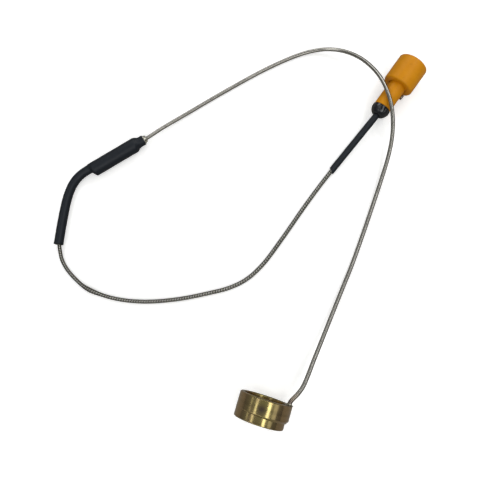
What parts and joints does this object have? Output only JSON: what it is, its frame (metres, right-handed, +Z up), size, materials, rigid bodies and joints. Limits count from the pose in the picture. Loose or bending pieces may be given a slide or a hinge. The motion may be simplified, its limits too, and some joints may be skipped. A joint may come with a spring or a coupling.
{
  "type": "thermocouple",
  "caption": "Collar thermocouple: a stepped brass sensing collar on a thin metal-sheathed cable, joined by a shrink-covered splice to a braided lead with a round orange plug.",
  "frame": {"origin": "on the supporting surface, under the middle of the brass collar, which lies on its side", "axes": "+Y along the collar bore towards the face the cable leaves, +Z up, +X towards the side of the collar that holds the cable"},
  "size_m": [0.2532, 0.2935, 0.0364],
  "materials": {
    "brass": "turned, dull with bright streaks",
    "sheath_steel": "drawn stainless tube, satin",
    "braid_steel": "woven stainless wire, satin",
    "silver": "plain bright metal",
    "heat_shrink": "shrunk polyolefin, satin",
    "orange_plastic": "moulded nylon, satin",
    "gland_plastic": "moulded nylon, gloss",
    "seal_rubber": "moulded rubber, matt",
    "magnesia": "packed mineral powder and cement, matt",
    "glass_sleeve": "braided glass sleeve",
    "core_positive": "green lead insulation",
    "core_negative": "white lead insulation",
    "chromel": "nickel chromium alloy",
    "alumel": "nickel aluminium alloy",
    "insert_plastic": "moulded thermoset, matt",
    "plain_steel": "zinc plated steel"
  },
  "bodies": {
    "cable_assembly": {"collar_body": "brass", "tip_sheath": "sheath_steel", "tip_insulation": "magnesia", "hot_junction": "silver", "tip_wire_positive": "chromel", "tip_wire_negative": "alumel", "sheath_braze": "silver", "sheath_cable": "sheath_steel", "splice_shrink": "heat_shrink", "transition_ferrule": "silver", "cold_seal": "magnesia", "cold_wire_positive": "chromel", "cold_wire_negative": "alumel", "crimp_positive": "silver", "crimp_negative": "silver", "crimp_sleeve_positive": "glass_sleeve", "crimp_sleeve_negative": "glass_sleeve", "core_positive": "core_positive", "core_negative": "core_negative", "tail_shrink": "heat_shrink", "tail_sleeve": "glass_sleeve", "armour_ferrule": "silver", "extension_lead": "braid_steel", "plug_shrink": "heat_shrink", "gland_nut": "gland_plastic", "gland_seal": "seal_rubber", "clamp_ring": "plain_steel", "plug_body": "orange_plastic", "rim_seal": "seal_rubber", "contact_insert": "insert_plastic", "pin_positive": "chromel", "pin_negative": "alumel", "plug_core_positive": "core_positive", "plug_core_negative": "core_negative", "locking_screw": "plain_steel"},
    "head": {"coupling_head": "orange_plastic", "retaining_ring": "plain_steel"}
  },
  "joints": [
    {"name": "head_turn", "type": "hinge", "parent": "cable_assembly", "child": "head", "pos_m": [0.0298, 0.2581, 0.01178], "axis": [0.34, 0.9342, 0.108], "continuous": true}
  ]
}
